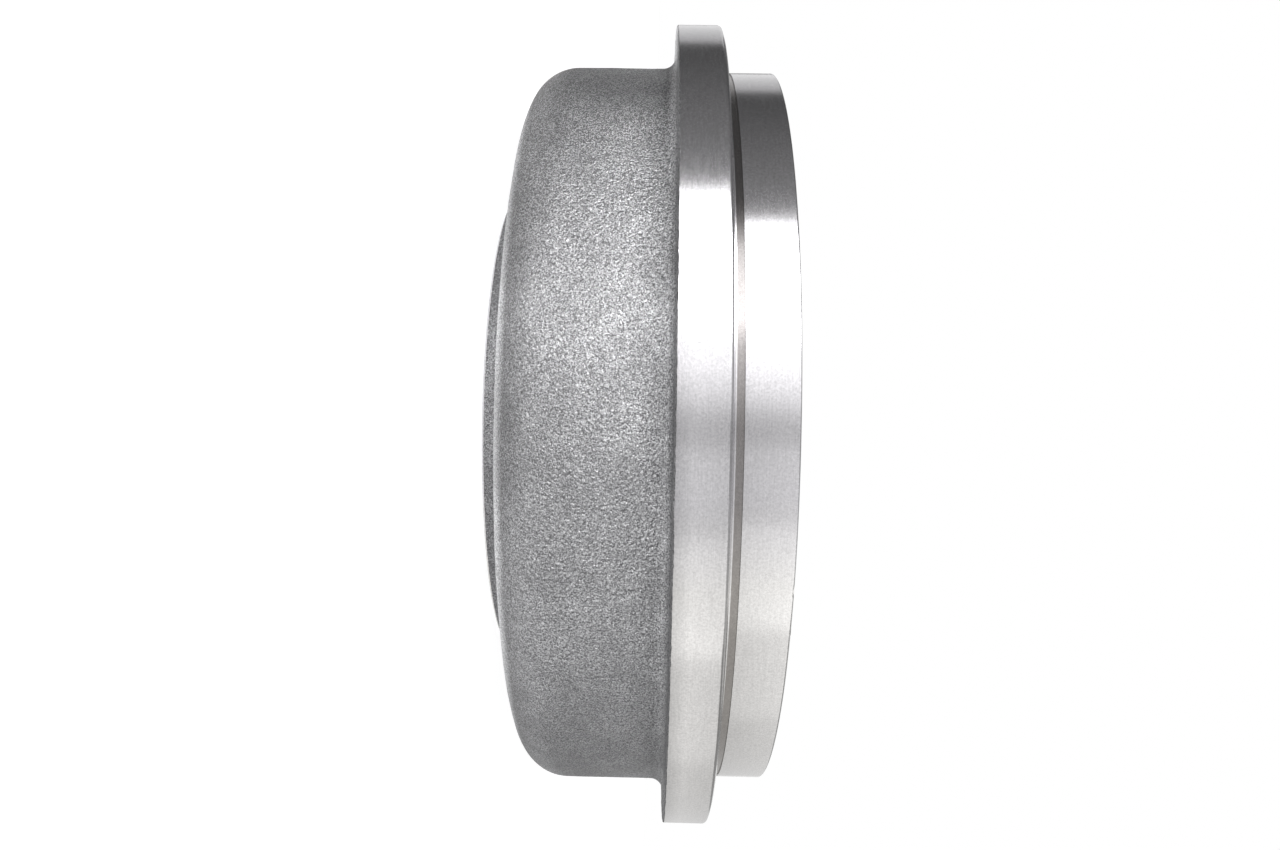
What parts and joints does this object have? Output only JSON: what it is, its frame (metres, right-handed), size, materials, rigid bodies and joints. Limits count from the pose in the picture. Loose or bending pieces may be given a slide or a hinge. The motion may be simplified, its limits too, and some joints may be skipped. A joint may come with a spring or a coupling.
{
  "type": "brake drum",
  "caption": "Cast-iron brake drum with a turned flange and rim land, a cast bowl, a raised hub pad, a hub bore, stud holes and threaded removal holes.",
  "frame": {"origin": "centre of the hub pad's outer face, which is the wheel seat", "axes": "+Z along the drum's axis, from the closed end and its hub pad to the open mouth; +X through one of the two removal holes"},
  "size_m": [0.304, 0.304, 0.0952],
  "materials": {
    "iron": "sand-cast skin on the bowl, fine turning on the rim land, flange edge, friction bore and hub pad faces"
  },
  "bodies": {
    "root": {"brake_drum": "iron"}
  },
  "joints": []
}
